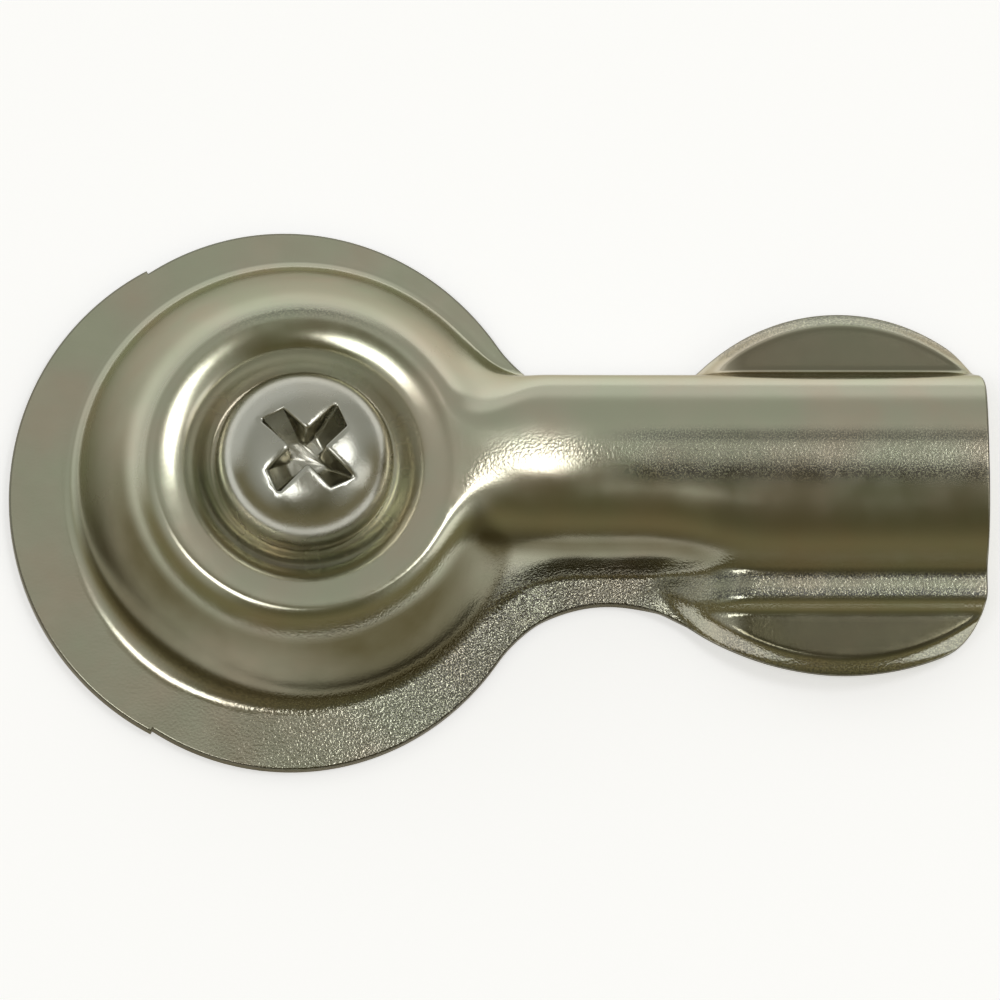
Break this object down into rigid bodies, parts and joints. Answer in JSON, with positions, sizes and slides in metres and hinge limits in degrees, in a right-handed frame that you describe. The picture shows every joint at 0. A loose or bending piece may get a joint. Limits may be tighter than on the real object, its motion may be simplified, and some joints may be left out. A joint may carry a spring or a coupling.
{
  "type": "frame turn button",
  "caption": "Stamped zinc-plated turn button with a round domed boss and a ribbed, eared arm that swivels on a pan-head wood screw to hold a screen or sash in its frame.",
  "frame": {"origin": "on the pivot axis, in the plane of the frame's face that the button's flange lies on", "axes": "+Z out of the frame along the pivot screw, +X along the arm at rest, +Y across the arm"},
  "size_m": [0.0413, 0.0234, 0.022],
  "materials": {
    "zinc_plate": "bright satin zinc plate, orange-peel texture where the sheet was drawn",
    "screw_zinc": "bright zinc plate"
  },
  "bodies": {
    "screw": {"pivot_screw": "screw_zinc"},
    "button": {"turn_button": "zinc_plate"}
  },
  "joints": [
    {"name": "button_turn", "type": "hinge", "parent": "screw", "child": "button", "pos_m": [0, 0, 0], "axis": [0, 0, 1], "continuous": true}
  ]
}
